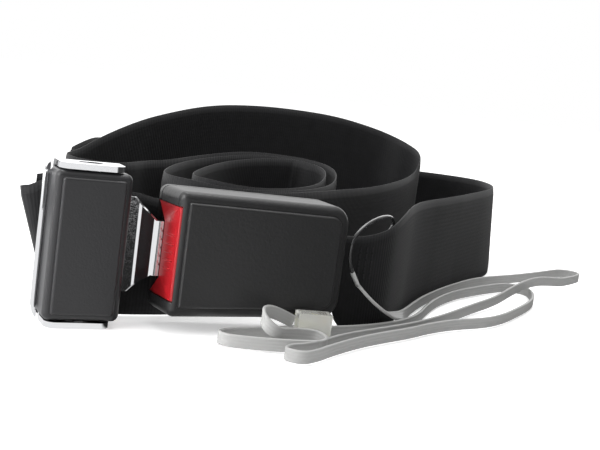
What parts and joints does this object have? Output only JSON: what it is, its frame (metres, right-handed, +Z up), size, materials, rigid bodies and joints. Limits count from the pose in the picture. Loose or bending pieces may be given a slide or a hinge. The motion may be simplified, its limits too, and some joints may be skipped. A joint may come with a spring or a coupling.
{
  "type": "seat belt buckle",
  "caption": "Black seat belt buckle with red release button, chromed adjuster tongue, coiled webbing straps and a flat sensor cable with clear plug.",
  "frame": {"origin": "bottom centre of the box round the buckle, tongue and straps, without the free cable and its plug", "axes": "+X from the tongue end towards the strap end along the buckle, -Y out of the buckle's front face, +Z up"},
  "size_m": [0.3242, 0.253, 0.075],
  "materials": {
    "black_plastic": "fine-grained moulded black",
    "cover_plastic": "moulded black, slightly glossier edges",
    "red_plastic": "moulded red",
    "chrome": "bright plated, fine scratches",
    "steel": "zinc plated sheet",
    "spring_steel": "drawn wire",
    "webbing": "woven black polyester webbing",
    "stitch": "black thread and folded webbing",
    "cable_grey": "soft grey jacket",
    "lead_black": "thin black insulation",
    "clear": "clear moulded",
    "gold": "gold plated",
    "cores": "coloured insulation",
    "board": "solder masked board",
    "reed_glass": "clear tube",
    "magnet": "sintered"
  },
  "bodies": {
    "buckle": {"front_cover": "black_plastic", "rear_cover": "black_plastic", "cover_screws": "steel", "buckle_frame": "steel", "latch_pin": "steel", "anchor_bar": "steel", "switch_board": "board", "reed_switch": "reed_glass", "lead_grommet": "lead_black", "buckle_strap": "webbing", "adjuster_strap": "webbing", "strap_hem": "stitch", "sensor_lead": "lead_black", "splice_sleeve": "lead_black", "flat_cable": "cable_grey", "plug_body": "clear", "plug_contacts": "gold", "plug_wires": "cores", "button_springs": "spring_steel", "latch_spring": "spring_steel", "ejector_spring": "spring_steel"},
    "button": {"press_button": "red_plastic"},
    "latch": {"latch_plate": "steel"},
    "ejector_slider": {"ejector": "black_plastic", "magnet": "magnet"},
    "tongue": {"tongue_frame": "chrome", "adjuster_cover": "cover_plastic", "adjuster_webbing": "webbing"},
    "bar": {"adjuster_bar": "steel"},
    "clip": {"plug_clip": "clear"}
  },
  "joints": [
    {"name": "tongue_slide", "type": "slide", "parent": "buckle", "child": "tongue", "axis": [-1, 0, 0], "range_m": [0, 0.042]},
    {"name": "ejector_slide", "type": "slide", "parent": "buckle", "child": "ejector_slider", "axis": [-1, 0, 0], "range_m": [0, 0.006], "deforming": ["ejector_spring"]},
    {"name": "button_press", "type": "slide", "parent": "buckle", "child": "button", "axis": [1, 0, 0], "range_m": [0, 0.005], "stiffness_N_per_m": 400, "deforming": ["button_springs"]},
    {"name": "latch_pivot", "type": "hinge", "parent": "buckle", "child": "latch", "pos_m": [-0.05752, -0.10084, 0.028], "axis": [0, 0, 1], "range_deg": [-6, 0], "stiffness_Nm_per_rad": 0.05, "deforming": ["latch_spring"]},
    {"name": "adjuster_bar_slide", "type": "slide", "parent": "tongue", "child": "bar", "axis": [1, 0, 0], "range_m": [0, 0.004]},
    {"name": "plug_clip_flex", "type": "hinge", "parent": "buckle", "child": "clip", "pos_m": [-0.04023, -0.11646, 0.0023], "axis": [0.2079, 0.9781, 0], "range_deg": [0, 5], "stiffness_Nm_per_rad": 0.02}
  ],
  "couplings": [
    {"joint": "ejector_slide", "follows": "tongue_slide", "ratio": 0.14286}
  ]
}
